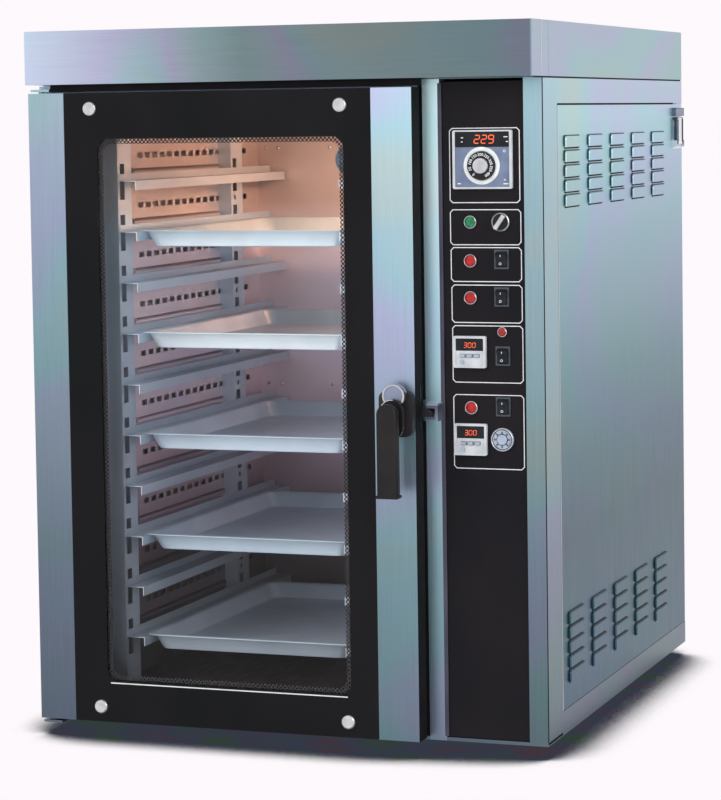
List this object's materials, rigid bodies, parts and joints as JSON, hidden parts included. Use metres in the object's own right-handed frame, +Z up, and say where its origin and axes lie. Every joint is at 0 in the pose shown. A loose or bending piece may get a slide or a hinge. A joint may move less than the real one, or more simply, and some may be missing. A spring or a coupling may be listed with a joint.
{
  "type": "convection oven",
  "caption": "Upright stainless convection oven with a side-hung glass door, a turning lock handle, a fixed rack holding trays, and a column of dials, timers and rockers.",
  "frame": {"origin": "on the floor under the centre of the oven's whole footprint, grip and flue included", "axes": "+Z up, +X to the right of somebody facing the door, +Y towards the rear; the door faces -Y"},
  "size_m": [0.9476, 1.168, 1.253],
  "materials": {
    "stainless_skin": "satin",
    "stainless_cavity": "satin",
    "tray_metal": "satin",
    "polished_metal": "polished",
    "blackened_steel": "satin",
    "motor_casting": "satin",
    "heater_sheath": "matte",
    "brass_fittings": "satin",
    "outer_glass": "gloss",
    "inner_glass": "gloss",
    "lamp_glass": "gloss",
    "lamp_parts": "satin",
    "mineral_wool": "matte",
    "seal_rubber": "matte",
    "grip_black": "satin",
    "control_black": "satin",
    "instrument_grey": "satin",
    "rocker_black": "gloss",
    "panel_black": "gloss",
    "lamp_lenses": "gloss",
    "key_rubber": "matte"
  },
  "bodies": {
    "cabinet": {"base_pan": "stainless_skin", "levelling_feet": "polished_metal", "frame_members": "stainless_skin", "front_posts": "stainless_skin", "side_panels": "stainless_skin", "rear_panel": "stainless_skin", "hood": "stainless_skin", "cavity_liner": "stainless_cavity", "duct_panels": "stainless_cavity", "insulation": "mineral_wool", "tray_rack": "stainless_cavity", "fan_motor": "motor_casting", "heater_element": "heater_sheath", "fan_guard": "stainless_cavity", "cavity_lamp": "lamp_parts", "lamp_lens": "lamp_glass", "steam_injector": "brass_fittings", "flue_pipe": "stainless_cavity", "cable_gland": "grip_black", "temperature_probe": "stainless_cavity", "control_panel": "panel_black", "temperature_controller": "control_black", "timers": "instrument_grey", "rocker_housings": "control_black", "pilot_lamps": "lamp_lenses", "buzzer": "instrument_grey", "hinge_brackets": "polished_metal", "latch_keeper": "blackened_steel", "top_seal": "seal_rubber", "side_latch_bases": "polished_metal", "panel_screws": "polished_metal"},
    "door": {"door_frame": "stainless_skin", "door_stiles": "stainless_skin", "outer_glass": "outer_glass", "inner_glass": "inner_glass", "door_seals": "seal_rubber", "glass_bolts": "polished_metal", "latch_case": "grip_black", "hinge_bushes": "brass_fittings"},
    "handle": {"handle_spindle": "polished_metal", "handle_grip": "grip_black", "latch_tongue": "blackened_steel"},
    "tray_1": {"tray_1": "tray_metal"},
    "tray_2": {"tray_2": "tray_metal"},
    "tray_3": {"tray_3": "tray_metal"},
    "tray_4": {"tray_4": "tray_metal"},
    "tray_5": {"tray_5": "tray_metal"},
    "fan": {"fan_rotor": "stainless_cavity"},
    "temperature_dial": {"temperature_dial": "control_black"},
    "power_selector": {"power_selector": "control_black"},
    "fan_rocker": {"fan_rocker": "rocker_black"},
    "lamp_rocker": {"lamp_rocker": "rocker_black"},
    "steam_rocker": {"steam_rocker": "rocker_black"},
    "timer_rocker": {"timer_rocker": "rocker_black"},
    "steam_timer_keypad": {"steam_timer_keypad": "key_rubber"},
    "steam_timer_start_key": {"steam_timer_start_key": "key_rubber"},
    "bake_timer_keypad": {"bake_timer_keypad": "key_rubber"},
    "bake_timer_start_key": {"bake_timer_start_key": "key_rubber"},
    "side_latch_lever": {"side_latch_lever": "polished_metal"},
    "left_latch_lever": {"left_latch_lever": "polished_metal"}
  },
  "joints": [
    {"name": "door_hinge", "type": "hinge", "parent": "cabinet", "child": "door", "pos_m": [-0.449, -0.491, 0.6], "axis": [0, 0, -1], "range_deg": [0, 120]},
    {"name": "handle_turn", "type": "hinge", "parent": "door", "child": "handle", "pos_m": [0.221, -0.54, 0.625], "axis": [0, 1, 0], "range_deg": [0, 90]},
    {"name": "tray_1_slide", "type": "slide", "parent": "cabinet", "child": "tray_1", "axis": [0, -1, 0], "range_m": [-0.095, 0.028]},
    {"name": "tray_2_slide", "type": "slide", "parent": "cabinet", "child": "tray_2", "axis": [0, -1, 0], "range_m": [-0.095, 0.028]},
    {"name": "tray_3_slide", "type": "slide", "parent": "cabinet", "child": "tray_3", "axis": [0, -1, 0], "range_m": [-0.095, 0.028]},
    {"name": "tray_4_slide", "type": "slide", "parent": "cabinet", "child": "tray_4", "axis": [0, -1, 0], "range_m": [-0.095, 0.028]},
    {"name": "tray_5_slide", "type": "slide", "parent": "cabinet", "child": "tray_5", "axis": [0, -1, 0], "range_m": [-0.095, 0.028]},
    {"name": "fan_spin", "type": "hinge", "parent": "cabinet", "child": "fan", "pos_m": [0.3, -0.096, 0.59], "axis": [1, 0, 0], "continuous": true},
    {"name": "temperature_dial_turn", "type": "hinge", "parent": "cabinet", "child": "temperature_dial", "pos_m": [0.359, -0.47, 1.01], "axis": [0, 1, 0], "range_deg": [-150, 150]},
    {"name": "power_selector_turn", "type": "hinge", "parent": "cabinet", "child": "power_selector", "pos_m": [0.3902, -0.47, 0.915], "axis": [0, 1, 0], "range_deg": [-35, 55]},
    {"name": "fan_rocker_tilt", "type": "hinge", "parent": "cabinet", "child": "fan_rocker", "pos_m": [0.3908, -0.4635, 0.852], "axis": [-1, 0, 0], "range_deg": [0, 20]},
    {"name": "lamp_rocker_tilt", "type": "hinge", "parent": "cabinet", "child": "lamp_rocker", "pos_m": [0.3904, -0.4635, 0.7885], "axis": [-1, 0, 0], "range_deg": [0, 20]},
    {"name": "steam_rocker_tilt", "type": "hinge", "parent": "cabinet", "child": "steam_rocker", "pos_m": [0.3914, -0.4635, 0.6885], "axis": [-1, 0, 0], "range_deg": [0, 20]},
    {"name": "timer_rocker_tilt", "type": "hinge", "parent": "cabinet", "child": "timer_rocker", "pos_m": [0.391, -0.4635, 0.6025], "axis": [-1, 0, 0], "range_deg": [0, 20]},
    {"name": "steam_timer_keypad_press", "type": "slide", "parent": "cabinet", "child": "steam_timer_keypad", "axis": [0, 1, 0], "range_m": [0, 0.0008], "stiffness_N_per_m": 400, "springref_m": -0.0005},
    {"name": "steam_timer_start_key_press", "type": "slide", "parent": "cabinet", "child": "steam_timer_start_key", "axis": [0, 1, 0], "range_m": [0, 0.0008], "stiffness_N_per_m": 400, "springref_m": -0.0005},
    {"name": "bake_timer_keypad_press", "type": "slide", "parent": "cabinet", "child": "bake_timer_keypad", "axis": [0, 1, 0], "range_m": [0, 0.0008], "stiffness_N_per_m": 400, "springref_m": -0.0005},
    {"name": "bake_timer_start_key_press", "type": "slide", "parent": "cabinet", "child": "bake_timer_start_key", "axis": [0, 1, 0], "range_m": [0, 0.0008], "stiffness_N_per_m": 400, "springref_m": -0.0005},
    {"name": "side_latch_turn", "type": "hinge", "parent": "cabinet", "child": "side_latch_lever", "pos_m": [0.4702, 0.487, 1.034], "axis": [0, 1, 0], "range_deg": [0, 90]},
    {"name": "left_latch_turn", "type": "hinge", "parent": "cabinet", "child": "left_latch_lever", "pos_m": [-0.4702, 0.487, 1.034], "axis": [0, -1, 0], "range_deg": [0, 90]}
  ]
}
